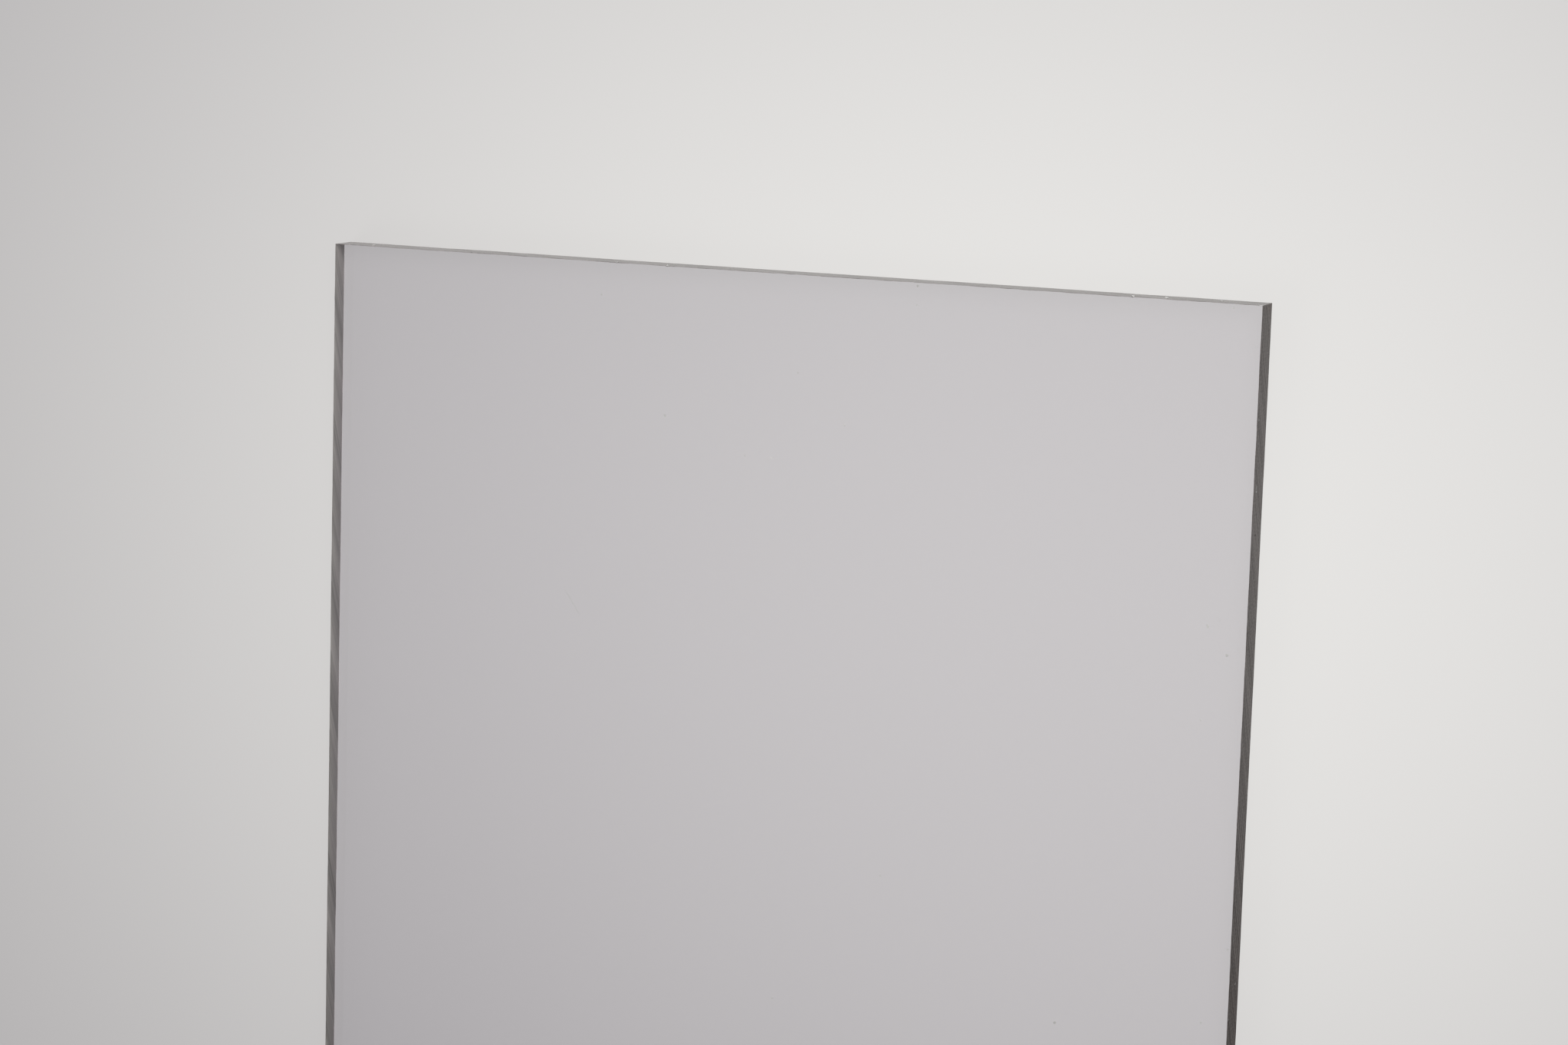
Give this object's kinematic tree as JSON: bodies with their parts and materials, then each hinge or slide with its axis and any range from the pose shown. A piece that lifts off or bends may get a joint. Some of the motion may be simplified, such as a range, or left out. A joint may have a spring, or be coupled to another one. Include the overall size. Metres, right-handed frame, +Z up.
{
  "type": "polycarbonate sheet",
  "caption": "Flat rectangular sheet of clear plastic with a light grey tint, polished on both faces and sawn square on all edges.",
  "frame": {"origin": "centre of the underside, the face that the sheet lies on", "axes": "+X across the width, +Y along the length, +Z up through the thickness"},
  "size_m": [0.12, 0.25, 0.004],
  "materials": {
    "polycarbonate": "polished faces, matt sawn edges"
  },
  "bodies": {
    "root": {"polycarbonate_sheet": "polycarbonate"}
  },
  "joints": []
}
